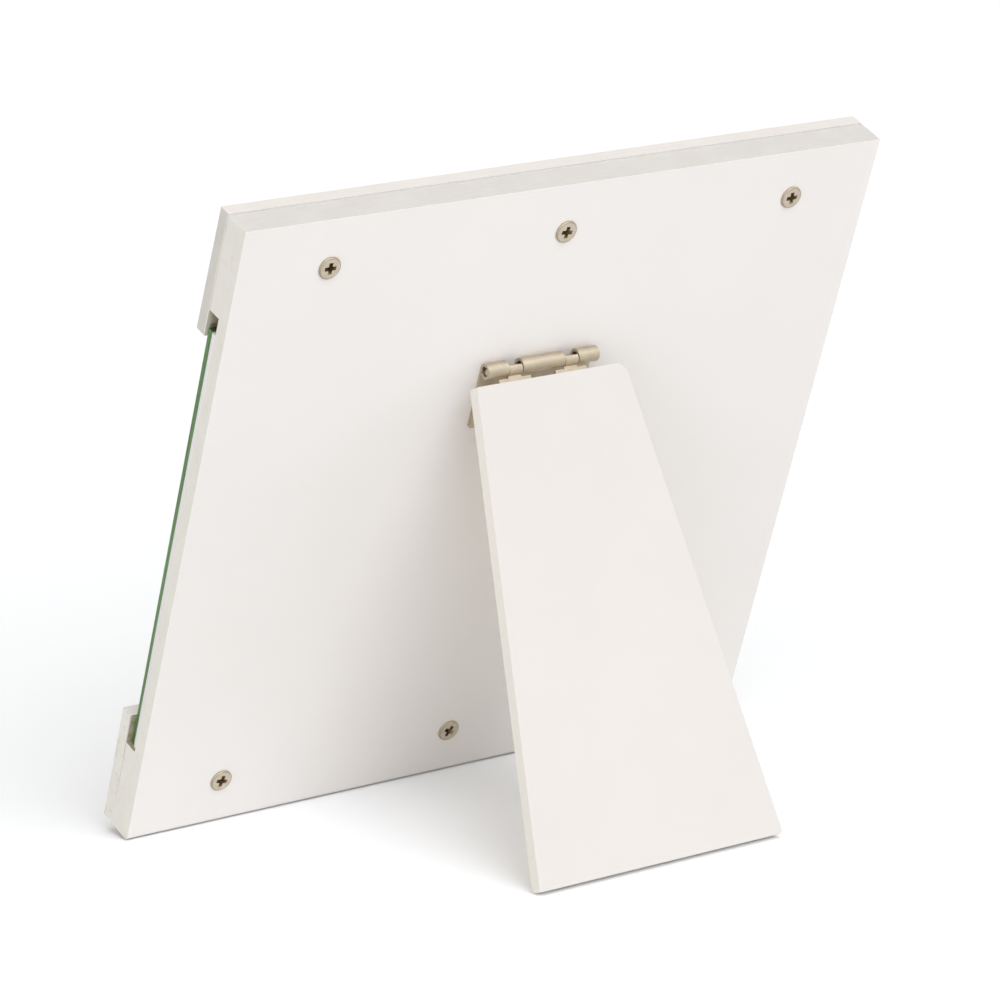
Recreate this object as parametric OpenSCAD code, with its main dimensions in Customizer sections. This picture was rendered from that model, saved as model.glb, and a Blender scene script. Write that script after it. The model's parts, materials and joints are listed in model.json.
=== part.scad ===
// Easel picture frame with its back to the viewer: a thick white board with a channel milled
// across its front, two front rails screwed on from behind, a glass pane, a print and a card
// that slide in from the side, and a tapered leg on a small rolled hinge.
// X runs along the width, Z is up and the picture faces -Y. The origin is on the table, under
// the middle of the whole footprint. Lengths are millimetres and angles are degrees.

/* [Frame] */
// Width of the board
frame_w = 203; // [150:1:280]
// Height of the board along its own face
frame_h = 191.5; // [175:0.5:260]
// Thickness of the back board
board_t = 8.7; // [8:0.1:14]
// Lean of the frame back from upright
recline = 21.7; // [12:0.1:28]

/* [Front rails] */
// Thickness of each front rail
rail_t = 4.2; // [3:0.1:8]
// Height of each front rail
rail_h = 36; // [33:0.5:45]
// How far the rails stand out past the sides of the board, and the top one past its top
rail_lip = 0.3; // [0:0.05:1]
// Radius of the rails' rounded front edges
rail_round = 0.6; // [0.4:0.1:1.8]

/* [Channel for the picture] */
// Depth of the channel milled into the front of the board
channel_depth = 4.4; // [4.2:0.1:4.8]
// Height of solid board above the channel
top_land = 28; // [22:0.5:31]
// Height of solid board below the channel
bottom_land = 27; // [22:0.5:31]

/* [Glass pane] */
// Thickness of the pane
glass_t = 2; // [1.6:0.1:2.3]
// How far the pane's ends lie inside the sides of the board
glass_inset = 0.3; // [0.2:0.1:3]
// How much further in its +X end lies at the foot, where it was cut out of square
glass_skew = 1; // [0:0.1:2]
// Free height left over the pane in the channel
glass_headroom = 5; // [1:0.1:8]

/* [Print and backing card] */
// Thickness of the print
print_t = 0.25; // [0.15:0.05:0.5]
// Thickness of the backing card
card_t = 0.95; // [0.5:0.05:1.2]
// How far the ends of the print and the card lie inside the sides of the board
card_inset = 0.25; // [0.2:0.05:3]
// Free height left over the print and the card in the channel
card_headroom = 5.2; // [1:0.1:8]

/* [Rail screws] */
// Diameter of a rail screw's head
screw_head_d = 6.5; // [5.5:0.1:8]
// How far the heads stand proud of the board
screw_stand = 0.6; // [0.3:0.05:0.7]
// Diameter of a rail screw's shank
screw_shank_d = 3.5; // [2.5:0.1:4]
// Distance between the outer screws of a row
screw_span = 148.4; // [100:0.2:148.4]
// Distance of the upper row from the top edge
top_screw_drop = 14.5; // [8:0.1:18]
// Distance of the lower row from the bottom edge
bottom_screw_rise = 14.3; // [8:0.1:18]

/* [Hinge] */
// Length of the hinge along its pin
hinge_l = 36; // [32:0.5:44]
// Height of the barrel's centre up the face of the frame
hinge_height = 137.7; // [120:0.1:150]
// Length of each leaf from the centre of the barrel
leaf_l = 18.9; // [16:0.1:24]
// Thickness of the sheet that both leaves are rolled from
sheet_t = 0.8; // [0.6:0.05:0.9]
// Outer diameter of the rolled barrel
barrel_d = 4.3; // [4.2:0.1:5]
// Diameter of the pin
pin_d = 2; // [1.6:0.1:2.2]
// Length of the middle knuckle, which the fixed leaf carries
middle_knuckle_l = 13.7; // [10:0.1:16]
// Length of each of the two knuckles of the moving leaf
moving_knuckle_l = 4.2; // [3:0.1:5]
// Width of each tongue that joins a moving knuckle to its leaf
tongue_w = 10.2; // [8:0.1:11]
// Width of the gap between the two tongues
tongue_gap = 8; // [6:0.1:9]

/* [Hinge screws] */
// Diameter of a hinge screw's head
hinge_head_d = 3.6; // [3:0.1:3.6]
// Diameter of a hinge screw's shank
hinge_shank_d = 2.2; // [1.6:0.1:2.4]
// Distance between the two screws of a leaf
hinge_screw_span = 22; // [12:0.5:26]
// Distance of the screws from the centre of the pin
hinge_screw_drop = 12.6; // [9:0.1:13]

/* [Leg] */
// Lean of the opened leg from upright
leg_lean = 21.2; // [14:0.1:28]
// Thickness of the leg
leg_t = 3.8; // [3:0.1:6]
// Width of the leg at its upper end
leg_top_w = 48.3; // [38:0.1:60]
// Width of the leg at its foot
leg_foot_w = 80.2; // [60:0.1:110]
// Distance from the pin down to the leg's upper end
leg_drop = 3.7; // [3.2:0.1:6]
// Radius of the leg's upper corner at the +X side, which was left nearly sharp
leg_sharp_round = 0.9; // [0.4:0.1:8]
// Radius of the leg's other upper corner
leg_top_round = 3; // [1:0.1:8]
// Radius of the leg's lower corners
leg_foot_round = 1.2; // [0.4:0.1:8]

/* [Hidden] */
$fn = 64;

// How far every cut runs past the face that it starts from
overrun = 1;
// Play round a screw in its hole
screw_play = 0.05;
// Play behind the card, and between the print and the glass
card_play = 0.1;
glass_play = 0.6;
// Height of the pane, the print and the card above the floor of the channel
floor_play = 0.15;
// Wood left in front of the points of the screws
rail_skin = 0.9;
hinge_skin = 1;
// Chamfer round the top of a screw's head, depth at which its cone begins, and length of its point
screw_chamfer = 0.25;
screw_rim = 0.5;
screw_point = 2.4;
hinge_chamfer = 0.1;
hinge_rim = 0.2;
hinge_point = 1;
// Recess of a screw: span, width of an arm and depth, as shares of the head's diameter
recess_span_share = 0.5;
recess_arm_share = 0.14;
recess_depth_share = 0.21;
// How far along X each rail screw was driven off its even place, from the +X end of its row
top_screw_shifts = [-0.5, 0, -0.5];
bottom_screw_shifts = [0.3, -0.1, 0];
// Turn at which each screw was left, from the +X end of its row
top_screw_turns = [1, -6, 4];
bottom_screw_turns = [-12, -28, -40];
hinge_screw_turns = [20, -35];
// Running play of the moving knuckles on the pin, and end play between knuckles
pin_play = 0.04;
knuckle_play = 0.15;
// How deep the pin beds into the side of the rolled eyes that the leg pulls it to, and the turn
// of that side outwards from straight down
pin_bed = 0.05;
pin_pull_angle = 50;
// How far the pin's ends lie inside the barrel, and their chamfer
pin_inset = 0.3;
pin_chamfer = 0.35;
// Slit between the end of a rolled knuckle and its leaf
seam_gap = 0.12;
// How far the leg's inner face lies outside the centre of the pin
leaf_offset = 0.15;
// Clearance of the notches in the fixed leaf round the moving knuckles
notch_play = 0.3;
// Clearance between the fixed barrel and the shoulders of the tongues
shoulder_play = 0.55;
// Height of the tongues, and radius of the leaves' outer corners
tongue_l = 3.2;
leaf_round = 1;
// Arc that a moving knuckle wraps, from its own leaf's direction outwards
wrap_start = -90;
wrap_end = 115;

frame_t = board_t + rail_t;
rail_w = frame_w + 2 * rail_lip;
web_t = board_t - channel_depth;
channel_h = frame_h - top_land - bottom_land;
card_y = -web_t - card_play;
print_y = card_y - card_t;
glass_y = print_y - print_t - glass_play;
rail_screw_l = frame_t - rail_skin;
hinge_screw_l = sheet_t + min(web_t, leg_t) - hinge_skin;
barrel_r = barrel_d / 2;
pin_r = pin_d / 2;
eye_r = barrel_r - sheet_t;
pin_hole_r = pin_r + pin_play;
pin_drop = (eye_r - pin_r + pin_bed) * cos(pin_pull_angle);
pin_depth = barrel_r + (eye_r - pin_r + pin_bed) * sin(pin_pull_angle);
wrap_r = pin_hole_r + sheet_t;
pin_height = hinge_height - pin_drop;
moving_knuckle_x = middle_knuckle_l / 2 + knuckle_play;
end_knuckle_x = moving_knuckle_x + moving_knuckle_l + knuckle_play;
end_knuckle_l = hinge_l / 2 - end_knuckle_x;
tongue_top = barrel_r - pin_drop + shoulder_play;

// Where the pin and the leg's foot come to stand, measured from the frame's resting edge
pin_y = pin_depth * cos(recline) + pin_height * sin(recline);
pin_z = pin_height * cos(recline) - pin_depth * sin(recline);
leg_end = (pin_z + leaf_offset * sin(leg_lean)) / cos(leg_lean);
foot_y = pin_y + leg_end * sin(leg_lean) + (leaf_offset + leg_t) * cos(leg_lean);
front_y = rail_round * sin(recline) - (frame_t - rail_round) * cos(recline) - rail_round;
middle_y = (front_y + foot_y) / 2;

// Placing
// Leans pieces drawn upright, with the rear face at y = 0, back on to their resting edge
module reclined()
    translate([0, -middle_y, 0]) rotate([-recline, 0, 0]) children();

// Swings pieces that were drawn round the pin, hanging down the board, to the opened leg
module swung_out()
    reclined() translate([0, pin_depth, pin_height]) rotate([recline + leg_lean, 0, 0]) children();

// A plate with its outline drawn in X and Z and its rear face at the given y
module plate(rear, thickness)
    translate([0, rear, 0]) rotate([90, 0, 0]) linear_extrude(thickness) children();

// A bar along X with its section drawn in Y and Z
module bar(start, length)
    translate([start, 0, 0]) rotate([90, 0, 90]) linear_extrude(length) children();

// The same piece at both ends of the hinge
module both_sides()
    for (side = [0, 1]) mirror([side, 0, 0]) children();

// Outlines
// Unit vector from one point to another
function heading(from, to) = (to - from) / norm(to - from);

// Half of the angle between two headings
function half_angle(a, b) = acos(a * b) / 2;

// A convex outline with a radius for each corner, where zero leaves the corner sharp. The
// corners run anticlockwise.
module rounded_outline(corners, radii) {
    count = len(corners);
    last = count - 1;
    before = [for (i = [0:last]) heading(corners[i], corners[(i + last) % count])];
    after = [for (i = [0:last]) heading(corners[i], corners[(i + 1) % count])];
    half = [for (i = [0:last]) half_angle(before[i], after[i])];
    polygon([
        for (i = [0:last])
            each radii[i] == 0 ? [corners[i]] : [
                corners[i] + before[i] * radii[i] / tan(half[i]),
                corners[i] + after[i] * radii[i] / tan(half[i])
            ]
    ]);
    for (i = [0:last])
        if (radii[i] > 0)
            translate(corners[i] + heading([0, 0], before[i] + after[i]) * radii[i] / sin(half[i]))
                circle(radii[i]);
}

// A rectangle between two x values and two y values
module span_square(x0, x1, y0, y1)
    translate([x0, y0]) square([x1 - x0, y1 - y0]);

// Screws
// Half section of a countersunk screw with its head at zero and its point below
module screw_section(head_r, shank_r, length, chamfer, rim, point)
    polygon([
        [0, 0],
        [head_r - chamfer, 0],
        [head_r, -chamfer],
        [head_r, -rim],
        [shank_r, -rim - head_r + shank_r],
        [shank_r, point - length],
        [0, -length]
    ]);

// Half section of the hole that such a screw sits in, carried past the surface
module hole_section(head_r, shank_r, length, rim, point)
    polygon([
        [0, overrun],
        [head_r + screw_play, overrun],
        [head_r + screw_play, -rim],
        [shank_r + screw_play, -rim - head_r + shank_r],
        [shank_r + screw_play, point - length],
        [0, -length - screw_play]
    ]);

// Cross recess in the top of a screw
module cross_recess(head_d) {
    depth = head_d * recess_depth_share;
    for (turn = [0, 90])
        rotate(turn) translate([0, 0, (overrun - depth) / 2])
            cube([head_d * recess_span_share, head_d * recess_arm_share, depth + overrun], center = true);
}

module rail_screw(turn)
    translate([0, 0, screw_stand]) difference() {
        rotate_extrude()
            screw_section(screw_head_d / 2, screw_shank_d / 2, rail_screw_l,
                screw_chamfer, screw_rim, screw_point);
        rotate(turn) cross_recess(screw_head_d);
    }

module rail_screw_hole()
    translate([0, 0, screw_stand]) rotate_extrude()
        hole_section(screw_head_d / 2, screw_shank_d / 2, rail_screw_l, screw_rim, screw_point);

module hinge_screw(turn)
    difference() {
        rotate_extrude()
            screw_section(hinge_head_d / 2, hinge_shank_d / 2, hinge_screw_l,
                hinge_chamfer, hinge_rim, hinge_point);
        rotate(turn) cross_recess(hinge_head_d);
    }

module hinge_screw_hole()
    rotate_extrude()
        hole_section(hinge_head_d / 2, hinge_shank_d / 2, hinge_screw_l, hinge_rim, hinge_point);

// Puts one child at each place of a row of rail screws, head to the rear; $at is the place's number
module at_rail_screws(height, shifts)
    for ($at = [0:2])
        translate([screw_span / 2 * (1 - $at) + shifts[$at], 0, height]) rotate([-90, 0, 0]) children();

module at_top_screws() at_rail_screws(frame_h - top_screw_drop, top_screw_shifts) children();

module at_bottom_screws() at_rail_screws(bottom_screw_rise, bottom_screw_shifts) children();

// Puts one child at each hinge screw of the fixed leaf, head to the rear
module at_board_screws()
    for ($at = [0, 1])
        translate([hinge_screw_span * (0.5 - $at), sheet_t, pin_height - hinge_screw_drop])
            rotate([-90, 0, 0]) children();

// Puts one child at each hinge screw of the moving leaf, head to the board
module at_leg_screws()
    for ($at = [0, 1])
        translate([hinge_screw_span * (0.5 - $at), leaf_offset - sheet_t, -hinge_screw_drop])
            rotate([90, 0, 0]) children();

// Board and rails
module backboard()
    color([0.945, 0.94, 0.93]) reclined() difference() {
        plate(0, board_t) span_square(-frame_w / 2, frame_w / 2, 0, frame_h);
        plate(-web_t, channel_depth + overrun)
            span_square(-frame_w / 2 - overrun, frame_w / 2 + overrun, bottom_land, frame_h - top_land);
        at_top_screws() rail_screw_hole();
        at_bottom_screws() rail_screw_hole();
        at_board_screws() hinge_screw_hole();
    }

// What rounding takes off an edge: the corner of a square outside its circle, with the edge at zero
module edge_waste(radius)
    difference() {
        translate([-overrun, -overrun]) square(radius + overrun);
        translate([radius, radius]) circle(radius);
    }

// A rail standing on the given height, rounded along its front edges and down its ends
module rail(bottom)
    difference() {
        bar(-rail_w / 2, rail_w)
            rounded_outline(
                [[-frame_t, bottom], [-board_t, bottom], [-board_t, bottom + rail_h], [-frame_t, bottom + rail_h]],
                [rail_round, 0, 0, rail_round]);
        both_sides() translate([-rail_w / 2, -frame_t, bottom - overrun])
            linear_extrude(rail_h + 2 * overrun) edge_waste(rail_round);
    }

module top_rail()
    color([0.95, 0.945, 0.935]) reclined() difference() {
        rail(frame_h + rail_lip - rail_h);
        at_top_screws() rail_screw_hole();
    }

module bottom_rail()
    color([0.95, 0.945, 0.935]) reclined() difference() {
        rail(0);
        at_bottom_screws() rail_screw_hole();
    }

module top_rail_screws()
    color([0.78, 0.74, 0.66]) reclined() at_top_screws() rail_screw(top_screw_turns[$at]);

module bottom_rail_screws()
    color([0.78, 0.74, 0.66]) reclined() at_bottom_screws() rail_screw(bottom_screw_turns[$at]);

// What slides into the channel
// A sheet standing just above the floor of the channel, whose +X end slants in towards its foot
module channel_sheet(rear, thickness, inset, headroom, skew = 0) {
    foot = bottom_land + floor_play;
    top = bottom_land + channel_h - headroom;
    plate(rear, thickness)
        polygon([
            [inset - frame_w / 2, foot],
            [frame_w / 2 - inset - skew, foot],
            [frame_w / 2 - inset, top],
            [inset - frame_w / 2, top]
        ]);
}

module glass_pane()
    color([0.55, 0.78, 0.6, 0.6]) reclined()
        channel_sheet(glass_y, glass_t, glass_inset, glass_headroom, glass_skew);

module picture_print()
    color([0.97, 0.97, 0.96]) reclined()
        channel_sheet(print_y, print_t, card_inset, card_headroom);

module backing_card()
    color([0.93, 0.92, 0.9]) reclined()
        channel_sheet(card_y, card_t, card_inset, card_headroom);

// Hinge
// Barrel section of the fixed leaf, whose eye leaves slack behind and above the pin
module fixed_knuckle(start, length)
    translate([0, barrel_r, hinge_height]) bar(start, length) circle(barrel_r);

module fixed_eye() {
    translate([0, barrel_r, hinge_height]) bar(-hinge_l / 2 - overrun, hinge_l + 2 * overrun)
        circle(eye_r);
    translate([0, pin_depth, pin_height]) bar(-hinge_l / 2 - overrun, hinge_l + 2 * overrun)
        circle(pin_hole_r);
}

// Slit that the end of each rolled knuckle leaves against the leaf
module fixed_seam()
    bar(-hinge_l / 2 - overrun, hinge_l + 2 * overrun)
        span_square(sheet_t, sheet_t + seam_gap, hinge_height - barrel_r, hinge_height - eye_r / 2);

module hinge_fixed_leaf()
    color([0.76, 0.71, 0.64]) reclined() difference() {
        union() {
            plate(sheet_t, sheet_t)
                rounded_outline(
                    [[-hinge_l / 2, hinge_height], [-hinge_l / 2, hinge_height - leaf_l],
                        [hinge_l / 2, hinge_height - leaf_l], [hinge_l / 2, hinge_height]],
                    [0, leaf_round, leaf_round, 0]);
            fixed_knuckle(-middle_knuckle_l / 2, middle_knuckle_l);
            both_sides() fixed_knuckle(end_knuckle_x, end_knuckle_l);
        }
        fixed_eye();
        fixed_seam();
        both_sides() plate(sheet_t + overrun, sheet_t + 2 * overrun)
            span_square(moving_knuckle_x - knuckle_play, end_knuckle_x,
                pin_height - wrap_r - notch_play, hinge_height + overrun);
        at_board_screws() hinge_screw_hole();
    }

// Direction at an angle from the hanging leaf, outwards, in Y and Z
function leaf_heading(angle) = [sin(angle), -cos(angle)];

// Sector that a moving knuckle leaves open, drawn round the pin
module wrap_opening() {
    reach = 2 * wrap_r;
    polygon([
        [0, 0],
        reach * leaf_heading(wrap_end),
        reach * leaf_heading((wrap_end + 360 + wrap_start) / 2),
        reach * leaf_heading(360 + wrap_start)
    ]);
}

// A knuckle of the moving leaf with the neck that joins it to its tongue
module moving_knuckle()
    bar(moving_knuckle_x, moving_knuckle_l) difference() {
        union() {
            difference() {
                circle(wrap_r);
                wrap_opening();
            }
            span_square(leaf_offset - sheet_t, leaf_offset, -tongue_top - tongue_l, 0);
        }
        circle(pin_hole_r);
    }

module hinge_moving_leaf()
    color([0.8, 0.75, 0.68]) swung_out() difference() {
        union() {
            both_sides() moving_knuckle();
            both_sides() plate(leaf_offset, sheet_t)
                span_square(tongue_gap / 2, tongue_gap / 2 + tongue_w, -tongue_top - 2 * tongue_l, -tongue_top);
            plate(leaf_offset, sheet_t)
                rounded_outline(
                    [[-hinge_l / 2, -tongue_top - tongue_l], [-hinge_l / 2, pin_drop - leaf_l],
                        [hinge_l / 2, pin_drop - leaf_l], [hinge_l / 2, -tongue_top - tongue_l]],
                    [leaf_round, leaf_round, leaf_round, leaf_round]);
        }
        at_leg_screws() hinge_screw_hole();
    }

// The pin lies in the low outer side of the fixed eyes, and the moving knuckles turn on it
module hinge_pin()
    color([0.85, 0.82, 0.77]) reclined() translate([0, pin_depth, pin_height]) both_sides()
        rotate([0, 90, 0]) {
            straight_l = hinge_l / 2 - pin_inset - pin_chamfer;
            cylinder(h = straight_l, r = pin_r);
            translate([0, 0, straight_l]) cylinder(h = pin_chamfer, r1 = pin_r, r2 = pin_r - pin_chamfer);
        }

module hinge_board_screws()
    color([0.78, 0.74, 0.66]) reclined() at_board_screws() hinge_screw(hinge_screw_turns[$at]);

module hinge_leg_screws()
    color([0.78, 0.74, 0.66]) swung_out() at_leg_screws() hinge_screw(hinge_screw_turns[1 - $at]);

// Leg, with a square-cut foot that stands on its inner edge
module easel_leg()
    color([0.955, 0.94, 0.925]) swung_out() difference() {
        plate(leaf_offset + leg_t, leg_t)
            rounded_outline(
                [[-leg_top_w / 2, -leg_drop], [-leg_foot_w / 2, -leg_end],
                    [leg_foot_w / 2, -leg_end], [leg_top_w / 2, -leg_drop]],
                [leg_top_round, leg_foot_round, leg_foot_round, leg_sharp_round]);
        at_leg_screws() hinge_screw_hole();
    }

backboard();
top_rail();
bottom_rail();
glass_pane();
picture_print();
backing_card();
top_rail_screws();
bottom_rail_screws();
hinge_fixed_leaf();
hinge_moving_leaf();
hinge_pin();
hinge_board_screws();
hinge_leg_screws();
easel_leg();
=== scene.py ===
"""Dresses a tabletop picture frame, seen from behind on its opened leg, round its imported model."""

import json
import math

import bpy
from mathutils import Matrix, Vector


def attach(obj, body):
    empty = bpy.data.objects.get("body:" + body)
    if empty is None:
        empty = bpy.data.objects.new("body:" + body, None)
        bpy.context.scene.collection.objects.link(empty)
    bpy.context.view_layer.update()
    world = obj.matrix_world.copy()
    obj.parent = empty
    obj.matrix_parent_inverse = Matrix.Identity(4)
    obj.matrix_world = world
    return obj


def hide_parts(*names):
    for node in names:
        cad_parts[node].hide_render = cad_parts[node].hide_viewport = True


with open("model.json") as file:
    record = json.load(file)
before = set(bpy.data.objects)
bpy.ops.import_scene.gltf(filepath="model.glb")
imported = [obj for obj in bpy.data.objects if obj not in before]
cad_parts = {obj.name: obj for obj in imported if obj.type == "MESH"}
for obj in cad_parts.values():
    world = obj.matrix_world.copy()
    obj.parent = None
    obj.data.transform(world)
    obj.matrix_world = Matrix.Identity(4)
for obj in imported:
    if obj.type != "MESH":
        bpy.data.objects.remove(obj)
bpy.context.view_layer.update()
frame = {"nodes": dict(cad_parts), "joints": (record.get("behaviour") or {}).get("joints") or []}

mm = 0.001

# The slack allowed when places are compared, and how nearly a face must look along an axis to face it
hair = 0.01 * mm
steep = 0.9
slanted = 0.2

# How far round each kind of edge is worn or sanded
board_arris = 0.45 * mm
board_joint_arris = 0.12 * mm
board_foot_round = 1.3 * mm
rail_front_round = 0.6 * mm
rail_foot_round = 1.3 * mm
rail_worn_corner = 0.3 * mm
rail_splay = 0.4 * mm
sheet_slant_share = 0.5
leg_arris = 0.5 * mm
leg_top_round = 3 * mm
leg_sharp_round = 0.6 * mm
leg_foot_round = 1.2 * mm
leg_foot_edge_round = 1.1 * mm
pane_arris = 0.22 * mm
sheet_metal_arris = 0.07 * mm
print_arris = 0.02 * mm
card_arris = 0.08 * mm
print_clearance = 0.1 * mm
pin_dome = 0.45 * mm

# The joint between the board and its rails, which the paint doesn't quite fill
joint_gap = 0.15 * mm
joint_gap_depth = 0.8 * mm
corner_gap = 0.24 * mm
corner_gap_depth = 1.2 * mm
corner_gap_length = 6 * mm
bright_band = 0.4 * mm
dust_and_reflection_reach = 14 * mm
overspray_reach = 1 * mm

# Screws, in shares of the head's radius, but the recess's depth is a share of the head's width,
# and the turn in degrees that each was left at
recess_span_share = 0.54
recess_arm_share = 0.18
recess_depth_share = 0.32
recess_pit_share = 0.28
pit_depth_share = 1.1
pit_shoulder_share = 0.25
recess_taper_along = 0.45
recess_taper_across = 0.7
shank_share = 0.54
hinge_shank_share = 0.6
tip_share = 0.1
top_screw_turns = (1, -6, 4)
bottom_screw_turns = (-12, -28, -40)
hinge_screw_turns = (20, -35)
rail_screw_point = 2.4 * mm
hinge_screw_point = 1 * mm
head_round_share = 0.13
head_rim_share = 0.16
screw_stand = 0.6 * mm
rim_gap = 0.08 * mm

# The camera of the photograph, and the width of the floor under the frame
view_azimuth = math.radians(145.41)
view_elevation = math.radians(14.42)
view_roll = math.radians(-0.991)
view_distance = 1.3451
view_aim = Vector((-0.0261, -0.00495, 0.07348))
view_lens = 172.15
view_sensor = 36
view_nearest = 0.01
view_farthest = 50
floor_width = 12


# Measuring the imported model
def corners_of(node):
    """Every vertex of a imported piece."""
    return [vertex.co.copy() for vertex in frame["nodes"][node].data.vertices]


def flat_side(node):
    """Direction that the widest flat side of a piece faces, taking the side towards +Y."""
    sides = {}
    for face in frame["nodes"][node].data.polygons:
        if face.normal.y > 0:
            key = tuple(round(part, 2) for part in face.normal)
            sides[key] = sides.get(key, Vector()) + face.normal * face.area
    return max(sides.values(), key=lambda side: side.length).normalized()


def standing_on(origin, outward):
    """Place with X along the width, Y the given direction and Z up along the piece."""
    across = Vector((1, 0, 0))
    upward = across.cross(outward)
    turn = Matrix((across, outward, upward)).transposed().to_4x4()
    return Matrix.Translation(origin) @ turn


def box_at(place, node):
    """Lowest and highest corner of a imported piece, measured along a place's own axes."""
    seen = [place.inverted() @ point for point in corners_of(node)]
    low = Vector([min(point[axis] for point in seen) for axis in range(3)])
    high = Vector([max(point[axis] for point in seen) for axis in range(3)])
    return low, high


def steps_at_side(place, node, axis):
    """The levels of a piece's outline along one axis, measured where its side is."""
    side = box_at(place, node)[1].x
    seen = [place.inverted() @ point for point in corners_of(node)]
    return sorted({round(point[axis], 5) for point in seen if side - point.x < hair})


resting_edge = min(corners_of("backboard"), key=lambda point: point.z)
resting_edge_middle = Vector((0, resting_edge.y, 0))
board_place = standing_on(resting_edge_middle, flat_side("backboard"))
pin_centre = Vector([joint for joint in frame["joints"] if joint["name"] == "leg_hinge"][0]["pos_m"])
leg_place = standing_on(pin_centre, flat_side("easel_leg"))
recline = math.atan2(board_place[1][2], board_place[2][2])
leg_lean = math.atan2(-leg_place[1][2], leg_place[2][2])


# Modelling
def only(piece):
    """Selects one piece and makes it the active one."""
    bpy.ops.object.select_all(action="DESELECT")
    piece.select_set(True)
    bpy.context.view_layer.objects.active = piece


def block(low, high):
    """A box between two corners."""
    low = Vector(low)
    high = Vector(high)
    bpy.ops.object.select_all(action="DESELECT")
    bpy.ops.mesh.primitive_cube_add(size=1, location=(low + high) / 2)
    made = bpy.context.object
    made.scale = high - low
    bpy.ops.object.transform_apply(location=True, rotation=True, scale=True)
    return made


def round_bar(rings, sides=48):
    """A closed round piece on the Z axis, drawn out ring by ring, each given as radius and height."""
    radius, height = rings[0]
    bpy.ops.object.select_all(action="DESELECT")
    bpy.ops.mesh.primitive_circle_add(
        vertices=sides, radius=radius, fill_type="NGON", location=(0, 0, height))
    made = bpy.context.object
    bpy.ops.object.transform_apply(location=True, rotation=True, scale=True)
    bpy.ops.object.mode_set(mode="EDIT")
    bpy.ops.mesh.select_all(action="SELECT")
    for next_radius, next_height in rings[1:]:
        bpy.ops.mesh.extrude_region_move(TRANSFORM_OT_translate={"value": (0, 0, next_height - height)})
        share = next_radius / radius
        bpy.ops.transform.resize(value=(share, share, 1), center_override=(0, 0, next_height))
        radius, height = next_radius, next_height
    bpy.ops.mesh.select_all(action="SELECT")
    bpy.ops.mesh.normals_make_consistent(inside=False)
    bpy.ops.object.mode_set(mode="OBJECT")
    return made


def close_up(piece):
    """Merges doubled points and turns every face outwards."""
    only(piece)
    bpy.ops.object.mode_set(mode="EDIT")
    bpy.ops.mesh.select_all(action="SELECT")
    bpy.ops.mesh.remove_doubles(threshold=0.001 * mm)
    bpy.ops.mesh.normals_make_consistent(inside=False)
    bpy.ops.object.mode_set(mode="OBJECT")


def carve(piece, cutter):
    """Takes one shape out of another."""
    only(piece)
    cut = piece.modifiers.new("cut", "BOOLEAN")
    cut.operation = "DIFFERENCE"
    cut.solver = "EXACT"
    cut.object = cutter
    bpy.ops.object.modifier_apply(modifier=cut.name)
    bpy.data.objects.remove(cutter, do_unlink=True)


def split_across(piece, centre, direction):
    """Draws a line round a piece where a plane passes through it."""
    only(piece)
    bpy.ops.object.mode_set(mode="EDIT")
    bpy.ops.mesh.select_all(action="SELECT")
    bpy.ops.mesh.bisect(plane_co=centre, plane_no=direction)
    bpy.ops.object.mode_set(mode="OBJECT")


def ease_edges(piece, width, segments=3, sharper_than=40):
    """Rounds every edge that is sharper than an angle."""
    only(piece)
    edge = piece.modifiers.new("edge", "BEVEL")
    edge.width = width
    edge.segments = segments
    edge.limit_method = "ANGLE"
    edge.angle_limit = math.radians(sharper_than)
    edge.use_clamp_overlap = True
    bpy.ops.object.modifier_apply(modifier=edge.name)


def pick_edges(piece, chosen):
    """Selects the edges for which chosen(first end, second end) is true, and opens the mesh."""
    only(piece)
    bpy.ops.object.mode_set(mode="EDIT")
    bpy.ops.mesh.select_mode(type="EDGE")
    bpy.ops.mesh.select_all(action="DESELECT")
    bpy.ops.object.mode_set(mode="OBJECT")
    points = piece.data.vertices
    for edge in piece.data.edges:
        edge.select = chosen(points[edge.vertices[0]].co, points[edge.vertices[1]].co)
    bpy.ops.object.mode_set(mode="EDIT")


def round_chosen_edges(piece, chosen, width, segments=5):
    """Rounds the edges for which chosen(first end, second end) is true."""
    pick_edges(piece, chosen)
    bpy.ops.mesh.bevel(offset=width, segments=segments, affect="EDGES")
    bpy.ops.object.mode_set(mode="OBJECT")


def copy_of_node(node):
    """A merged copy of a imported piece, whose own mesh is loose triangles."""
    mesh = frame["nodes"][node].data.copy()
    mesh.materials.clear()
    made = bpy.data.objects.new("copy", mesh)
    bpy.context.collection.objects.link(made)
    close_up(made)
    bpy.ops.object.mode_set(mode="EDIT")
    bpy.ops.mesh.select_all(action="SELECT")
    bpy.ops.mesh.customdata_custom_splitnormals_clear()
    bpy.ops.mesh.dissolve_limited(angle_limit=math.radians(0.5))
    bpy.ops.object.mode_set(mode="OBJECT")
    return made


def hand_in(piece, name, place, body, nodes, finishes, smooth_below=35):
    """Puts a modelled piece in its place, with its finish, on its body."""
    piece.name = name
    piece.data.name = name
    piece.data.transform(place)
    only(piece)
    bpy.ops.object.shade_smooth_by_angle(angle=math.radians(smooth_below))
    # The small faces of an eased edge don't bend the shading of the large flat face beside it
    flat = piece.modifiers.new("flat faces stay flat", "WEIGHTED_NORMAL")
    flat.keep_sharp = True
    bpy.ops.object.modifier_apply(modifier=flat.name)
    for finish in finishes:
        piece.data.materials.append(finish)
    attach(piece, body)
    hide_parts(*nodes)


def finish_faces(piece, finishes, finish, chosen):
    """Gives one of a piece's finishes to the faces for which chosen(normal, centre) is true."""
    number = finishes.index(finish)
    for face in piece.data.polygons:
        if chosen(face.normal, face.center):
            face.material_index = number


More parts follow.
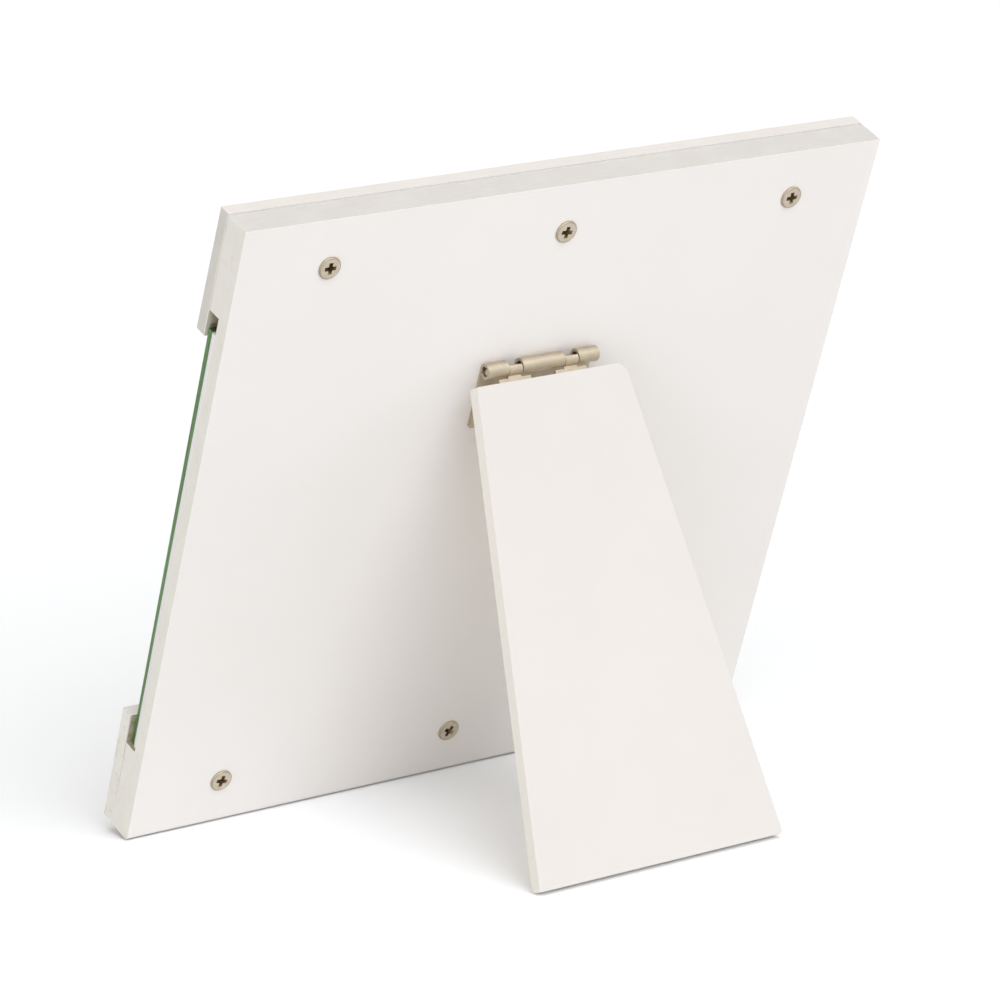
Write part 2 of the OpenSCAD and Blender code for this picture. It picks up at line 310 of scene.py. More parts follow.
# Measures of the pieces along the leaning frame
board_low, board_high = box_at(board_place, "backboard")
web_front = steps_at_side(board_place, "backboard", 1)[1]
channel_floor, channel_ceiling = steps_at_side(board_place, "backboard", 2)[1:3]
past = 2 * mm


# Finishes
class Finish:
    """A material with its shader, and short ways to add the nodes that these finishes need."""

    def __init__(self, name):
        self.material = bpy.data.materials.new(name)
        self.material.use_nodes = True
        self.nodes = self.material.node_tree.nodes
        self.links = self.material.node_tree.links
        self.shader = self.nodes["Principled BSDF"]
        self.where = self.nodes.new("ShaderNodeTexCoord").outputs["Object"]

    def set(self, **values):
        """Sets sockets of the shader that are the same all over."""
        for socket, value in values.items():
            self.shader.inputs[socket.replace("_", " ")].default_value = value
        return self

    def turned_by(self, angle, stretch=(1, 1, 1)):
        """Coordinates along a piece that leans about X, stretched to draw a pattern out."""
        mapping = self.nodes.new("ShaderNodeMapping")
        mapping.vector_type = "TEXTURE"
        mapping.inputs["Rotation"].default_value = (angle, 0, 0)
        mapping.inputs["Scale"].default_value = stretch
        self.links.new(self.where, mapping.inputs["Vector"])
        return mapping.outputs["Vector"]

    def across(self):
        """Distance from the middle of the frame's width."""
        parts = self.nodes.new("ShaderNodeSeparateXYZ")
        self.links.new(self.where, parts.inputs["Vector"])
        distance = self.nodes.new("ShaderNodeMath")
        distance.operation = "ABSOLUTE"
        self.links.new(parts.outputs["X"], distance.inputs[0])
        return distance.outputs[0]

    def noise(self, size, detail=3, roughness=0.5, where=None):
        """Cloudy pattern whose patches are about the given size."""
        node = self.nodes.new("ShaderNodeTexNoise")
        node.inputs["Scale"].default_value = 1 / size
        node.inputs["Detail"].default_value = detail
        node.inputs["Roughness"].default_value = roughness
        self.links.new(where or self.where, node.inputs["Vector"])
        return node.outputs["Fac"]

    def spread(self, pattern, low, high, from_low=0.35, from_high=0.65):
        """Turns a pattern into numbers between low and high."""
        node = self.nodes.new("ShaderNodeMapRange")
        node.inputs["From Min"].default_value = from_low
        node.inputs["From Max"].default_value = from_high
        node.inputs["To Min"].default_value = low
        node.inputs["To Max"].default_value = high
        self.links.new(pattern, node.inputs["Value"])
        return node.outputs["Result"]

    def blend(self, share, first, second):
        """Colour that goes from first to second."""
        node = self.nodes.new("ShaderNodeMix")
        node.data_type = "RGBA"
        self.links.new(share, node.inputs["Factor"])
        for socket, colour in ((node.inputs[6], first), (node.inputs[7], second)):
            if isinstance(colour, tuple):
                socket.default_value = (*colour, 1)
            else:
                self.links.new(colour, socket)
        return node.outputs[2]

    def combine(self, first, second, operation="ADD"):
        """Adds or multiplies two patterns."""
        node = self.nodes.new("ShaderNodeMath")
        node.operation = operation
        self.links.new(first, node.inputs[0])
        self.links.new(second, node.inputs[1])
        return node.outputs[0]

    def paint(self, socket, output):
        """Lets a pattern or a blend drive one socket of the shader."""
        self.links.new(output, self.shader.inputs[socket])

    def relief(self, pattern, depth):
        """Bumps the surface by a pattern, over the reliefs that it already has."""
        node = self.nodes.new("ShaderNodeBump")
        node.inputs["Distance"].default_value = depth
        node.inputs["Strength"].default_value = 1
        self.links.new(pattern, node.inputs["Height"])
        before = self.shader.inputs["Normal"].links
        if before:
            self.links.new(before[0].from_socket, node.inputs["Normal"])
        self.links.new(node.outputs["Normal"], self.shader.inputs["Normal"])


paint_ior = 1.46


def face_paint(name, tone, shade, lean):
    """Satin paint, rolled on: cloudy by a hair, with a fine orange peel."""
    made = Finish(name).set(IOR=paint_ior)
    along = made.turned_by(lean)
    clouds = made.spread(made.noise(38 * mm, where=along), 0, 1, 0.3, 0.7)
    made.paint("Base Color", made.blend(clouds, shade, tone))
    peel = made.noise(1.1 * mm, 2, where=along)
    made.paint("Roughness", made.spread(made.noise(6 * mm, 4, where=along), 0.4, 0.5))
    made.relief(peel, 0.012 * mm)
    made.relief(made.noise(9 * mm, 2, where=along), 0.05 * mm)
    return made.material


def edge_paint(name, tone, shade, lean, stretch, worn=0.3):
    """The same paint on a sawn edge, which drinks it: duller, drawn out in streaks, thin in places."""
    made = Finish(name).set(IOR=paint_ior)
    streaks = made.noise(0.5 * mm, 3, where=made.turned_by(lean, stretch))
    clouds = made.noise(9 * mm, 3, 0.5, where=made.turned_by(lean))
    thin = made.spread(made.noise(3.2 * mm, 4, 0.6, where=made.turned_by(lean)), 0, worn, 0.56, 0.72)
    painted = made.blend(made.spread(made.combine(streaks, clouds), 0, 1, 0.75, 1.25), shade, tone)
    made.paint("Base Color", made.blend(thin, painted, thin_paint))
    made.paint("Roughness", made.spread(clouds, 0.52, 0.66))
    made.relief(streaks, 0.02 * mm)
    made.relief(clouds, 0.03 * mm)
    return made.material


def raw_board(name, lean, dark, light, dust_and_reflection, reach):
    """Bare pressed fibre inside the channel, with dusty patches near its open ends and paint as far in as
    reach. For the bare channel these patches are grey-green, partly a painted green reflection of the
    pane's edge.
    """
    made = Finish(name).set(IOR=1.4)
    layers = made.noise(0.45 * mm, 5, 0.7, where=made.turned_by(lean, (6, 1, 1.5)))
    ragged = made.spread(made.noise(0.8 * mm, 4), -0.35 * mm, 0.35 * mm, 0, 1)
    edge = board_high.x - reach
    fade = 0.15 * mm
    painted = made.spread(made.combine(made.across(), ragged), 0, 1, edge - fade, edge + fade)
    fibre = made.blend(made.spread(layers, 0, 1), dark, light)
    thinning = board_high.x - dust_and_reflection_reach
    near_end = made.spread(made.across(), 0.1, 1, thinning, thinning + dust_and_reflection_reach / 2)
    patches = made.spread(made.noise(2.5 * mm, 3), 0, 0.8, 0.42, 0.58)
    dust_and_reflection_laid = made.blend(made.combine(patches, near_end, "MULTIPLY"), fibre, dust_and_reflection)
    made.paint("Base Color", made.blend(painted, dust_and_reflection_laid, overspray))
    made.set(Roughness=0.85)
    made.relief(layers, 0.08 * mm)
    return made.material


def nickel(name, tone, shade, worn=0.3):
    """Warm satin nickel plate, tumbled so that it has fine marks in all directions."""
    made = Finish(name).set(Metallic=1.0)
    clouds = made.spread(made.noise(2.2 * mm, 3), 0, 1, 0.3, 0.7)
    made.paint("Base Color", made.blend(clouds, shade, tone))
    grain = made.noise(0.16 * mm, 3, 0.65)
    made.paint("Roughness", made.spread(made.noise(1.2 * mm, 4), worn - 0.05, worn + 0.05))
    made.relief(grain, 0.002 * mm)
    made.relief(made.noise(1.5 * mm, 2), 0.01 * mm)
    return made.material


def clear_glass(name):
    """The clear faces of the pane. Light that falls through it on to the print isn't stopped."""
    made = Finish(name).set(IOR=1.5, Transmission_Weight=1.0, Roughness=0.0)
    made.shader.inputs["Base Color"].default_value = (0.97, 0.992, 0.98, 1)
    passing = made.nodes.new("ShaderNodeBsdfTransparent")
    passing.inputs["Color"].default_value = (0.94, 0.965, 0.95, 1)
    rays = made.nodes.new("ShaderNodeLightPath")
    choice = made.nodes.new("ShaderNodeMixShader")
    made.links.new(rays.outputs["Is Shadow Ray"], choice.inputs["Fac"])
    made.links.new(made.shader.outputs["BSDF"], choice.inputs[1])
    made.links.new(passing.outputs["BSDF"], choice.inputs[2])
    made.links.new(choice.outputs["Shader"], made.nodes["Material Output"].inputs["Surface"])
    return made.material


def glass_edge(name, lean, dark, light):
    """The ground edge of the pane: green, with the dark and light lines of the grinding."""
    made = Finish(name).set(IOR=1.5, Transmission_Weight=0.25)
    lines = made.noise(0.35 * mm, 3, 0.6, where=made.turned_by(lean, (1, 1, 60)))
    made.paint("Base Color", made.blend(made.spread(lines, 0, 1), dark, light))
    made.paint("Roughness", made.spread(lines, 0.18, 0.4))
    made.relief(lines, 0.03 * mm)
    return made.material


def card_paper(name, tone, fibre_depth):
    """Matt card with short fibres."""
    made = Finish(name).set(IOR=1.45)
    fibres = made.noise(0.4 * mm, 5, 0.7)
    darker = tuple(part * 0.94 for part in tone)
    made.paint("Base Color", made.blend(made.spread(fibres, 0, 1), darker, tone))
    made.set(Roughness=0.8)
    made.relief(fibres, fibre_depth)
    return made.material


# Tones of the paint, most with the shade that they cloud into, and the ways in which its streaks run
white = (0.908, 0.882, 0.884)
white_shade = (0.893, 0.867, 0.867)
edge_white = (0.87, 0.852, 0.82)
edge_shade = (0.825, 0.805, 0.77)
rail_edge_white = (0.715, 0.69, 0.67)
rail_edge_shade = (0.65, 0.625, 0.6)
# The board's top and bottom faces are partly a duller sawn-edge paint and partly painted shade: their tone
# is darkened to hold back the extra lamp light an upward face gets
top_dull_paint_and_shade = (0.665, 0.64, 0.614)
top_dull_paint_and_shade_cloud = (0.617, 0.59, 0.562)
# The rails' top and bottom faces likewise: partly duller sawn-edge paint, partly darkened as painted shade
# against the extra lamp light on an upward face
rail_top_dull_paint_and_shade = (0.755, 0.712, 0.682)
rail_top_dull_paint_and_shade_cloud = (0.72, 0.676, 0.642)
# The leg's face has the board's white paint but is drawn darker as painted shade, to hold back the extra
# lamp light its upturned face catches
leg_paint_darkened_as_shade = (0.75, 0.716, 0.692)
leg_paint_darkened_as_shade_cloud = (0.735, 0.7, 0.677)
leg_edge_white = (0.84, 0.81, 0.765)
leg_foot_white = (0.93, 0.91, 0.88)
leg_foot_shade = (0.9, 0.88, 0.85)
leg_inside = (0.93, 0.885, 0.79)
leg_inside_shade = (0.9, 0.85, 0.74)
# The step where a rail stands past the board is painted darker, as painted shade, so that it shows no lit
# line
lip_painted_shade = (0.7, 0.68, 0.64)
lip_painted_shade_cloud = (0.62, 0.6, 0.56)
thin_paint = (0.74, 0.66, 0.54)
worn_corner = (0.7, 0.6, 0.52)
overspray = (0.66, 0.64, 0.56)
upward_streaks = (1, 1, 14)
short_upward_streaks = (1, 1, 8)
sideways_streaks = (14, 1, 1)

board_face = face_paint("board face paint", white, white_shade, -recline)
board_side = edge_paint("board side paint", edge_white, edge_shade, -recline, upward_streaks)
board_end_paint_and_shade = edge_paint("board end paint darkened by painted shade", top_dull_paint_and_shade, top_dull_paint_and_shade_cloud, -recline, sideways_streaks)
# Near its open ends the bare channel's grey-green patches are partly dusty fibre and partly a painted green
# reflection of the pane's edge
channel_bare = raw_board(
    "bare channel", -recline, (0.28, 0.19, 0.09), (0.55, 0.42, 0.25), (0.46, 0.52, 0.44), 0)
channel_misted = raw_board(
    "channel under a thin coat", -recline,
    (0.27, 0.2, 0.12), (0.85, 0.77, 0.6), (0.6, 0.52, 0.38), overspray_reach)
rail_face = face_paint("rail face paint", white, white_shade, -recline)
rail_side = edge_paint(
    "top rail end paint", rail_edge_white, rail_edge_shade, -recline, short_upward_streaks, 0.5)
rail_foot_side = edge_paint(
    "bottom rail end paint", edge_white, edge_shade, -recline, short_upward_streaks, 0.8)
rail_end_paint_and_shade = edge_paint("rail edge paint darkened by painted shade", rail_top_dull_paint_and_shade, rail_top_dull_paint_and_shade_cloud, -recline, sideways_streaks)
rail_corner = edge_paint("worn rail corner", edge_shade, worn_corner, -recline, (4, 1, 4), 0.8)
# Painted shade on the rail's lip, where the step faces the lamps
rail_lip_painted_shade = edge_paint(
    "paint behind the rail's lip, darkened as painted shade", lip_painted_shade, lip_painted_shade_cloud, -recline, short_upward_streaks, 0.4)
leg_face_painted_shade = face_paint("leg face paint darkened as painted shade", leg_paint_darkened_as_shade, leg_paint_darkened_as_shade_cloud, leg_lean)
leg_side = edge_paint("leg side paint", leg_edge_white, leg_edge_white, leg_lean, upward_streaks, 0.1)
leg_foot = edge_paint(
    "paint under the leg", leg_foot_white, leg_foot_shade, leg_lean, sideways_streaks, 0.1)
leg_inner = face_paint("thinner paint inside the leg", leg_inside, leg_inside_shade, leg_lean)
screw_metal = nickel("screw nickel", (0.7, 0.63, 0.545), (0.58, 0.515, 0.435), 0.45)
# The turned rim of each head is partly duller worn nickel and partly darkened as painted shade of the rim
screw_edge_dull_and_shaded = nickel("screw nickel in its turned edge", (0.51, 0.435, 0.33), (0.44, 0.37, 0.275), 0.6)
# The cross recess is drawn in a dark brown nickel: painted shade deep in the recess
screw_recess_painted_shade = nickel("screw nickel darkened as painted shade in its recess", (0.4, 0.31, 0.17), (0.29, 0.225, 0.12), 0.5)
screw_finishes = [screw_metal, screw_edge_dull_and_shaded, screw_recess_painted_shade]
hinge_metal = nickel("hinge nickel", (0.59, 0.515, 0.4), (0.51, 0.44, 0.335), 0.52)
pin_metal = nickel("pin steel", (0.58, 0.52, 0.44), (0.48, 0.43, 0.36), 0.35)
pane_clear = clear_glass("pane glass")
pane_edge = glass_edge("pane edge", -recline, (0.05, 0.15, 0.035), (0.155, 0.365, 0.095))
# The pane's top and bottom ends, deep in the channel, get a darker copy of the edge's green as painted
# shade
pane_end_painted_shade = glass_edge("pane end darkened as painted shade", -recline, (0.015, 0.05, 0.015), (0.05, 0.13, 0.045))
card_white = card_paper("backing card", (0.95, 0.945, 0.965), 0.03 * mm)
print_white = card_paper("blank print", (0.9, 0.9, 0.89), 0.008 * mm)
# The print's edges are drawn lilac-grey as painted shade along them
print_edge_painted_shade = card_paper("print edge in painted lilac shade", (0.88, 0.86, 0.93), 0.008 * mm)


# Measures of the rail screws
def screw_row(node):
    """Centres of a row of three screws, and the radius of their heads."""
    low, high = box_at(board_place, node)
    head = (high.z - low.z) / 2
    seen = [board_place.inverted() @ point for point in corners_of(node)]
    middle = [point.x for point in seen if abs(point.x) < high.x / 2]
    places = (high.x - head, (min(middle) + max(middle)) / 2, low.x + head)
    return [Vector((x, 0, (high.z + low.z) / 2)) for x in places], head


top_row = screw_row("top_rail_screws")[0]
bottom_row, head_radius = screw_row("bottom_rail_screws")
screw_length = screw_stand - box_at(board_place, "top_rail_screws")[0].y
shank_radius = head_radius * shank_share
head_out = Matrix.Rotation(math.radians(-90), 4, "X")


# The board
def make_board():
    piece = block(board_low, board_high)
    carve(piece, block(
        (board_low.x - past, board_low.y - past, channel_floor),
        (board_high.x + past, web_front, channel_ceiling)))

    def at_foot(first, second):
        return max(first.z, second.z) < mm and min(first.y, second.y) > -mm

    def at_side_joint(first, second):
        return max(first.y, second.y) < board_low.y + hair and abs(first.z - second.z) > mm

    round_chosen_edges(piece, at_foot, board_foot_round)
    round_chosen_edges(piece, at_side_joint, board_joint_arris, 2)
    ease_edges(piece, board_arris)
    for gap, low_x, low_z in (
        (joint_gap, board_low.x - past, board_high.z - joint_gap_depth),
        (corner_gap, board_high.x - corner_gap_depth, board_high.z - corner_gap_length),
    ):
        carve(piece, block(
            (low_x, board_low.y - past, low_z),
            (board_high.x + past, board_low.y + gap, board_high.z + past)))
    wide = head_radius + rim_gap
    narrow = shank_radius + rim_gap
    cone_top = screw_stand - head_radius * head_rim_share
    for centre in top_row + bottom_row:
        hole = round_bar([
            (narrow, -screw_length), (narrow, cone_top - wide + narrow), (wide, cone_top), (wide, past)])
        hole.data.transform(Matrix.Translation(centre) @ head_out)
        carve(piece, hole)
    finishes = [board_face, board_side, board_end_paint_and_shade, channel_bare]
    finish_faces(piece, finishes, board_side, lambda normal, centre: abs(normal.x) > steep)
    # Top and bottom faces get the edge paint darkened partly as painted shade
    finish_faces(piece, finishes, board_end_paint_and_shade, lambda normal, centre: abs(normal.z) > steep)

    def inside(normal, centre):
        slack = 0.1 * mm
        between = channel_floor - slack < centre.z < channel_ceiling + slack
        return between and centre.y < web_front + slack and abs(normal.x) < steep

    finish_faces(piece, finishes, channel_bare, inside)
    hand_in(piece, "board", board_place, "frame", ["backboard"], finishes)


# The two front rails
def make_rail(node, name, end_paint, back_paint):
    low, high = box_at(board_place, node)
    piece = block(low, high)
    outer = high.z if low.z + high.z > board_low.z + board_high.z else low.z
    for corner in piece.data.vertices:
        if abs(corner.co.z - outer) < mm:
            corner.co.x -= math.copysign(rail_splay, corner.co.x)

    def at_front(first, second):
        return max(first.y, second.y) < low.y + hair

    def at_corner(first, second):
        return abs(first.y - second.y) > mm

    def at_foot(first, second):
        return max(first.z, second.z) < mm and at_front(first, second)

    round_chosen_edges(piece, at_foot, rail_foot_round)
    round_chosen_edges(piece, at_corner, rail_worn_corner, 2)
    round_chosen_edges(piece, at_front, rail_front_round)
    band = high.y - bright_band
    for level, direction in (
        ((0, band, 0), (0, 1, 0)),
        ((board_high.x, 0, 0), (1, 0, 0)),
        ((board_low.x, 0, 0), (1, 0, 0)),
        ((0, 0, channel_floor), (0, 0, 1)),
        ((0, 0, channel_ceiling), (0, 0, 1)),
    ):
        split_across(piece, level, direction)

    def at_end(normal, centre):
        return abs(normal.x) > steep and centre.y < band

    def by_board(normal, centre):
        return abs(normal.x) > steep and centre.y > band

    def on_corner(normal, centre):
        return min(abs(normal.x), abs(normal.z)) > slanted

    def on_lip(normal, centre):
        return normal.y > steep and abs(centre.x) > board_high.x

    def in_channel(normal, centre):
        return (normal.y > steep and channel_floor < centre.z < channel_ceiling
                and board_low.x < centre.x < board_high.x)

    finishes = [rail_face, end_paint, rail_end_paint_and_shade, board_side, rail_corner, back_paint, rail_lip_painted_shade]
    finish_faces(piece, finishes, end_paint, at_end)
    # Top and bottom faces get the rail paint darkened partly as painted shade
    finish_faces(piece, finishes, rail_end_paint_and_shade, lambda normal, centre: abs(normal.z) > steep)
    finish_faces(piece, finishes, board_side, by_board)
    finish_faces(piece, finishes, rail_corner, on_corner)
    # The lip's faces get paint darkened as painted shade
    finish_faces(piece, finishes, rail_lip_painted_shade, on_lip)
    finish_faces(piece, finishes, back_paint, in_channel)
    hand_in(piece, name, board_place, "frame", [node], finishes)


# Screws
def make_screw(head, shank, length, point):
    """One countersunk screw with the top of its head at zero, and a tapered cross recess."""
    edge = head * head_round_share
    rim = head * head_rim_share
    steps = [math.radians(angle) for angle in range(90, -1, -15)]
    rounded = [(math.sin(step), math.cos(step)) for step in steps]
    piece = round_bar(
        [(shank * tip_share, -length), (shank, point - length), (shank, shank - rim - head), (head, -rim)]
        + [(head - edge + edge * across, -edge + edge * up) for across, up in rounded])
    # A join keeps the finish of each face only where the pieces have their materials already
    for finish in screw_finishes:
        piece.data.materials.append(finish)
    # The rounded rim of each head gets nickel darkened partly as painted shade
    finish_faces(piece, screw_finishes, screw_edge_dull_and_shaded, lambda normal, centre: centre.xy.length > head - edge)
    depth = 2 * head * recess_depth_share
    span = head * recess_span_share
    arm = head * recess_arm_share
    above = 0.1 * mm
    for turn in (0, 90):
        wing = block((-span, -arm, -depth), (span, arm, above))
        for corner in wing.data.vertices:
            if corner.co.z < 0:
                corner.co.x *= recess_taper_along
                corner.co.y *= recess_taper_across
        wing.data.transform(Matrix.Rotation(math.radians(turn), 4, "Z"))
        carve(piece, wing)
    pit = head * recess_pit_share
    carve(piece, round_bar([
        (pit * tip_share, -depth * pit_depth_share), (pit, -depth * pit_shoulder_share), (pit, above)], 16))

    # Faces down in the recess get the nickel darkened as painted shade
    def in_recess(normal, centre):
        return centre.xy.length < span and centre.z < -hair

    finish_faces(piece, screw_finishes, screw_recess_painted_shade, in_recess)
    return piece


def set_screws(pattern, seats, name, body, node):
    """Copies one screw to each of its seats and joins the copies into one piece."""
    copies = []
    for seat in seats:
        made = bpy.data.objects.new(name, pattern.data.copy())
        bpy.context.collection.objects.link(made)
        made.data.transform(seat)
        copies.append(made)
    only(copies[0])
    for made in copies[1:]:
        made.select_set(True)
    bpy.ops.object.join()
    hand_in(copies[0], name, Matrix(), body, [node], [])


def make_rail_screws():
    pattern = make_screw(head_radius, shank_radius, screw_length, rail_screw_point)
    rows = (
        ("screws_top_row", "top_rail_screws", top_row, top_screw_turns),
        ("screws_bottom_row", "bottom_rail_screws", bottom_row, bottom_screw_turns),
    )
    for name, node, row, turns in rows:
        seats = [
            board_place @ Matrix.Translation(centre + Vector((0, screw_stand, 0))) @ head_out
            @ Matrix.Rotation(math.radians(turn), 4, "Z")
            for centre, turn in zip(row, turns)]
        set_screws(pattern, seats, name, "frame", node)
    bpy.data.objects.remove(pattern, do_unlink=True)


def make_hinge_screws():
    for name, node, place, body, sign, turns in (
        ("screws_in_board", "hinge_board_screws", board_place, "frame", 1, hinge_screw_turns),
        ("screws_in_leg", "hinge_leg_screws", leg_place, "leg", -1, hinge_screw_turns[::-1]),
    ):
        low, high = box_at(place, node)
        head = (high.z - low.z) / 2
        outer = high.y if sign > 0 else low.y
        pattern = make_screw(head, head * hinge_shank_share, high.y - low.y, hinge_screw_point)
        facing = Matrix.Rotation(math.radians(-90 * sign), 4, "X")
        seats = [
            place @ Matrix.Translation((x, outer, (low.z + high.z) / 2)) @ facing
            @ Matrix.Rotation(math.radians(turn), 4, "Z")
            for x, turn in zip((high.x - head, low.x + head), turns)]
        set_screws(pattern, seats, name, body, node)
        bpy.data.objects.remove(pattern, do_unlink=True)


# What lies in the channel
def make_pane():
    piece = copy_of_node("glass_pane")
    ease_edges(piece, pane_arris, 2)
    outward = board_place.col[1].xyz
    upward = board_place.col[2].xyz
    finishes = [pane_clear, pane_edge, pane_end_painted_shade]
    finish_faces(piece, finishes, pane_edge, lambda normal, centre: abs(normal.dot(outward)) < steep)
    finish_faces(piece, finishes, pane_end_painted_shade, lambda normal, centre: abs(normal.dot(upward)) > 0.5)
    hand_in(piece, "pane", Matrix(), "glass", ["glass_pane"], finishes)


def pane_slant():
    """How much further in the pane's open end lies at its foot than at its top."""
    ends = [board_place.inverted() @ point for point in corners_of("glass_pane")]
    foot = min(point.z for point in ends)
    return max(point.x for point in ends) - max(point.x for point in ends if point.z - foot < mm)


def make_sheet(node, name, arris, finishes, swell=0):
    """A sheet behind the pane, a little loose and wavy, so drawn thicker towards the pane by swell."""
    low, high = box_at(board_place, node)
    piece = block(low - Vector((0, swell, 0)), high)
    middle = (low.z + high.z) / 2
    slant = pane_slant() * sheet_slant_share
    for corner in piece.data.vertices:
        if corner.co.x > 0 and corner.co.z < middle:
            corner.co.x -= slant
    ease_edges(piece, arris, 1)
    finish_faces(piece, finishes, finishes[-1], lambda normal, centre: abs(normal.y) < 0.5)
    hand_in(piece, name, board_place, "picture", [node], finishes)


# The hinge
def make_leaf(node, name, body):
    piece = copy_of_node(node)
    ease_edges(piece, sheet_metal_arris, 2, 38)
    hand_in(piece, name, Matrix(), body, [node], [hinge_metal], 30)


def make_pin():
    low, high = box_at(board_place, "hinge_pin")
    radius = (high.z - low.z) / 2
    length = high.x - low.x
    steps = [math.radians(angle) for angle in range(15, 91, 15)]
    dome = [(radius * math.sin(step), length / 2 + pin_dome * (math.cos(step) - 1)) for step in steps]
    piece = round_bar([(across, -along) for across, along in dome] + dome[::-1], 40)
    piece.data.transform(Matrix.Translation(pin_centre) @ Matrix.Rotation(math.radians(90), 4, "Y"))
    hand_in(piece, "pin", Matrix(), "frame", ["hinge_pin"], [pin_metal])


# The leg
def leg_taper(low, high):
    """How much the leg narrows on each side for each unit of its length."""
    points = [leg_place.inverted() @ point for point in corners_of("easel_leg")]
    lower = [point for point in points if point.z < low.z + 2 * mm and point.x > 0]
    upper = [point for point in points if point.z > high.z - 2 * mm and point.x > 0]
    outer_low = max(lower, key=lambda point: point.x)
    outer_high = max(upper, key=lambda point: point.x)
    return (outer_low.x - outer_high.x) / (outer_high.z - outer_low.z)


def make_leg():
    low, high = box_at(leg_place, "easel_leg")
    piece = block(low, high)
    middle = (low.z + high.z) / 2
    drawn_in = leg_taper(low, high) * (high.z - low.z)
    for corner in piece.data.vertices:
        if corner.co.z > middle:
            corner.co.x = math.copysign(abs(corner.co.x) - drawn_in, corner.co.x)

    def through(first, second):
        return abs(first.y - second.y) > mm

    def at(x_sign, up):
        return lambda first, second: (
            through(first, second) and first.x * x_sign > 0 and (first.z > middle) == up)

    for x_sign, up, radius in (
        (1, True, leg_sharp_round), (-1, True, leg_top_round),
        (1, False, leg_foot_round), (-1, False, leg_foot_round),
    ):
        round_chosen_edges(piece, at(x_sign, up), radius)

    def at_foot_edge(first, second):
        return max(first.z, second.z) < low.z + hair and min(first.y, second.y) > high.y - hair

    round_chosen_edges(piece, at_foot_edge, leg_foot_edge_round, 4)
    ease_edges(piece, leg_arris, 3, 60)
    # The leg's face gets its paint darkened as painted shade
    finishes = [leg_face_painted_shade, leg_side, leg_inner, leg_foot]
    finish_faces(piece, finishes, leg_side, lambda normal, centre: abs(normal.y) < 0.7)
    finish_faces(piece, finishes, leg_inner, lambda normal, centre: normal.y < -steep)
    finish_faces(piece, finishes, leg_foot, lambda normal, centre: normal.z < -0.3)
    hand_in(piece, "leg", leg_place, "leg", ["easel_leg"], finishes)


make_board()
make_rail("top_rail", "rail_top", rail_side, channel_misted)
make_rail("bottom_rail", "rail_bottom", rail_foot_side, channel_bare)
make_rail_screws()
make_pane()
pane_back = box_at(board_place, "glass_pane")[1].y
print_front = box_at(board_place, "picture_print")[0].y
print_swell = print_front - pane_back - print_clearance
make_sheet("picture_print", "print_sheet", print_arris, [print_white, print_edge_painted_shade], print_swell)
make_sheet("backing_card", "card", card_arris, [card_white])
make_leaf("hinge_fixed_leaf", "leaf_fixed", "frame")
make_leaf("hinge_moving_leaf", "leaf_moving", "leg")
make_pin()
make_hinge_screws()
make_leg()


# Studio
def make_camera():
    data = bpy.data.cameras.new("camera")
    data.lens = view_lens
    data.sensor_width = view_sensor
    data.clip_start = view_nearest
    data.clip_end = view_farthest
    back = Vector((
        math.sin(view_azimuth) * math.cos(view_elevation),
        -math.cos(view_azimuth) * math.cos(view_elevation),
        math.sin(view_elevation)))
    camera = bpy.data.objects.new("camera", data)
    bpy.context.collection.objects.link(camera)
    level = (-back).to_track_quat("-Z", "Y").to_matrix().to_4x4()
    camera.matrix_world = (
        Matrix.Translation(resting_edge_middle + view_aim + back * view_distance)
        @ level @ Matrix.Rotation(view_roll, 4, "Z"))
    bpy.context.scene.camera = camera


def soft_lamp(name, direction, strength, colour, width):
    """A wide lamp so far away that it lights everything alike."""
    data = bpy.data.lights.new(name, "SUN")
    data.angle = width
    data.energy = strength
    data.color = colour
    lamp = bpy.data.objects.new(name, data)
    bpy.context.collection.objects.link(lamp)
    lamp.rotation_mode = "QUATERNION"
    lamp.rotation_quaternion = (-direction).to_track_quat("-Z", "Y")


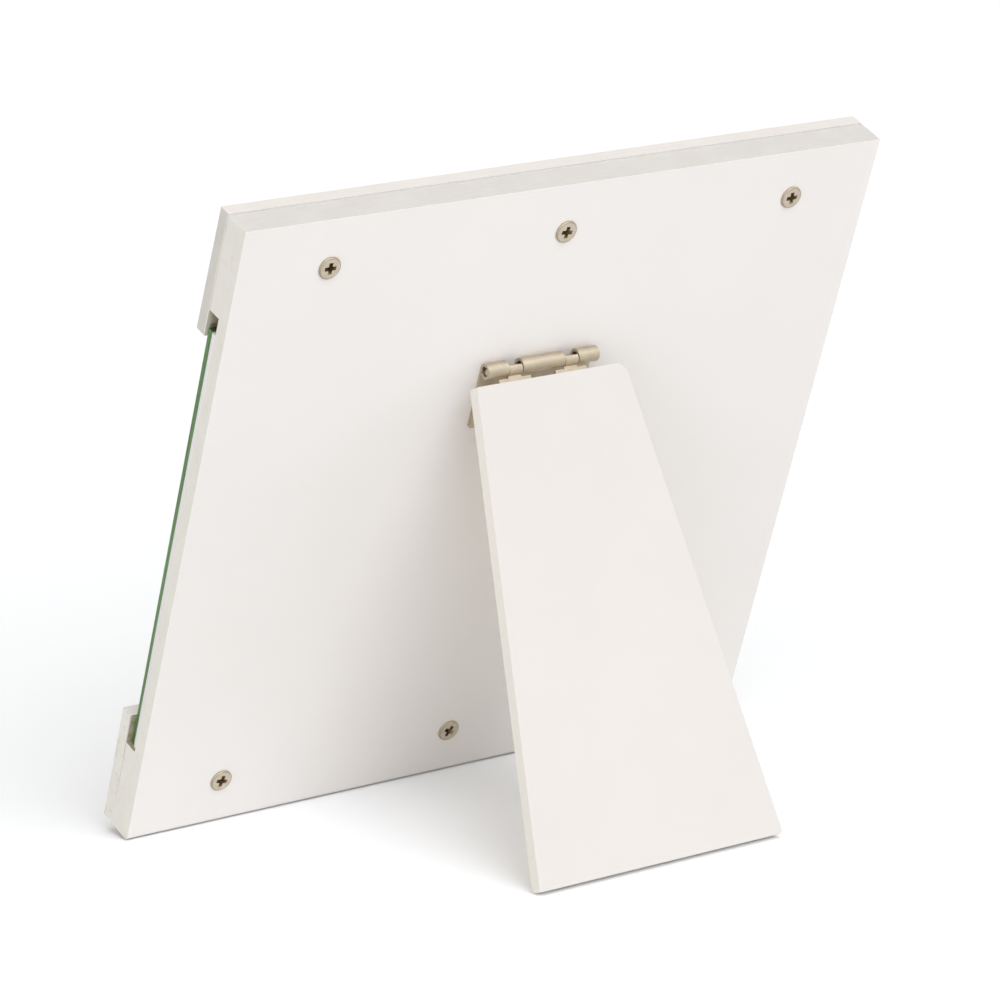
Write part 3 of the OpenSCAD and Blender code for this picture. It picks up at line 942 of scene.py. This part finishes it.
def make_floor():
    """A pale matt floor, lit a little more for the camera than for what it throws on the object."""
    bpy.ops.object.select_all(action="DESELECT")
    bpy.ops.mesh.primitive_plane_add(size=floor_width, location=(0, 0, 0))
    floor = bpy.context.object
    floor.name = "floor"
    material = bpy.data.materials.new("floor")
    material.use_nodes = True
    nodes = material.node_tree.nodes
    links = material.node_tree.links
    nodes.remove(nodes["Principled BSDF"])
    matt = nodes.new("ShaderNodeBsdfDiffuse")
    tint = nodes.new("ShaderNodeMix")
    tint.data_type = "RGBA"
    tint.inputs[6].default_value = (*floor_bounce, 1)
    tint.inputs[7].default_value = (*floor_colour, 1)
    glow = nodes.new("ShaderNodeEmission")
    rays = nodes.new("ShaderNodeLightPath")
    links.new(rays.outputs["Is Camera Ray"], tint.inputs["Factor"])
    links.new(tint.outputs[2], matt.inputs["Color"])
    strength = nodes.new("ShaderNodeMath")
    strength.operation = "MULTIPLY"
    strength.inputs[1].default_value = floor_glow
    both = nodes.new("ShaderNodeAddShader")
    links.new(rays.outputs["Is Camera Ray"], strength.inputs[0])
    links.new(strength.outputs[0], glow.inputs["Strength"])
    links.new(matt.outputs["BSDF"], both.inputs[0])
    links.new(glow.outputs["Emission"], both.inputs[1])
    links.new(both.outputs["Shader"], nodes["Material Output"].inputs["Surface"])
    floor.data.materials.append(material)


def make_world():
    """A weak warm sky, which the camera, the metal and the glass see as plain white."""
    world = bpy.data.worlds.new("studio")
    bpy.context.scene.world = world
    world.use_nodes = True
    nodes = world.node_tree.nodes
    links = world.node_tree.links
    fill = nodes["Background"]
    fill.inputs["Color"].default_value = (*fill_colour, 1)
    fill.inputs["Strength"].default_value = fill_strength
    seen = nodes.new("ShaderNodeBackground")
    seen.inputs["Color"].default_value = (1, 1, 1, 1)
    seen.inputs["Strength"].default_value = 1
    rays = nodes.new("ShaderNodeLightPath")
    sees_white = rays.outputs["Is Camera Ray"]
    for kind in ("Is Glossy Ray", "Is Transmission Ray"):
        either = nodes.new("ShaderNodeMath")
        either.operation = "MAXIMUM"
        links.new(sees_white, either.inputs[0])
        links.new(rays.outputs[kind], either.inputs[1])
        sees_white = either.outputs[0]
    choice = nodes.new("ShaderNodeMixShader")
    links.new(sees_white, choice.inputs["Fac"])
    links.new(fill.outputs["Background"], choice.inputs[1])
    links.new(seen.outputs["Background"], choice.inputs[2])
    links.new(choice.outputs["Shader"], nodes["World Output"].inputs["Surface"])


floor_colour = (0.955, 0.965, 0.985)
floor_bounce = (0.865, 0.86, 0.83)
floor_glow = 0.045
fill_colour = (1, 0.965, 0.88)
fill_strength = 0.4

# Each lamp's name, direction, width in degrees, strength and colour
lamps = (
    ("key", (0.03, 0.7, 0.7), 45, 1.35, (0.96, 0.985, 1.03)),
    ("low key", (0.62, 0.78, 0.06), 90, 0.68, (0.95, 0.985, 1.06)),
    ("top", (0, 0.1, 0.99), 60, 0.85, (0.98, 0.99, 1.01)),
    ("side", (1, 0.2, 0.1), 70, 0.4, (1, 0.985, 0.96)),
)

make_camera()
make_floor()
make_world()
for lamp_name, direction, width, strength, colour in lamps:
    soft_lamp(lamp_name, Vector(direction), strength, colour, math.radians(width))
bpy.context.scene.view_settings.view_transform = "Standard"
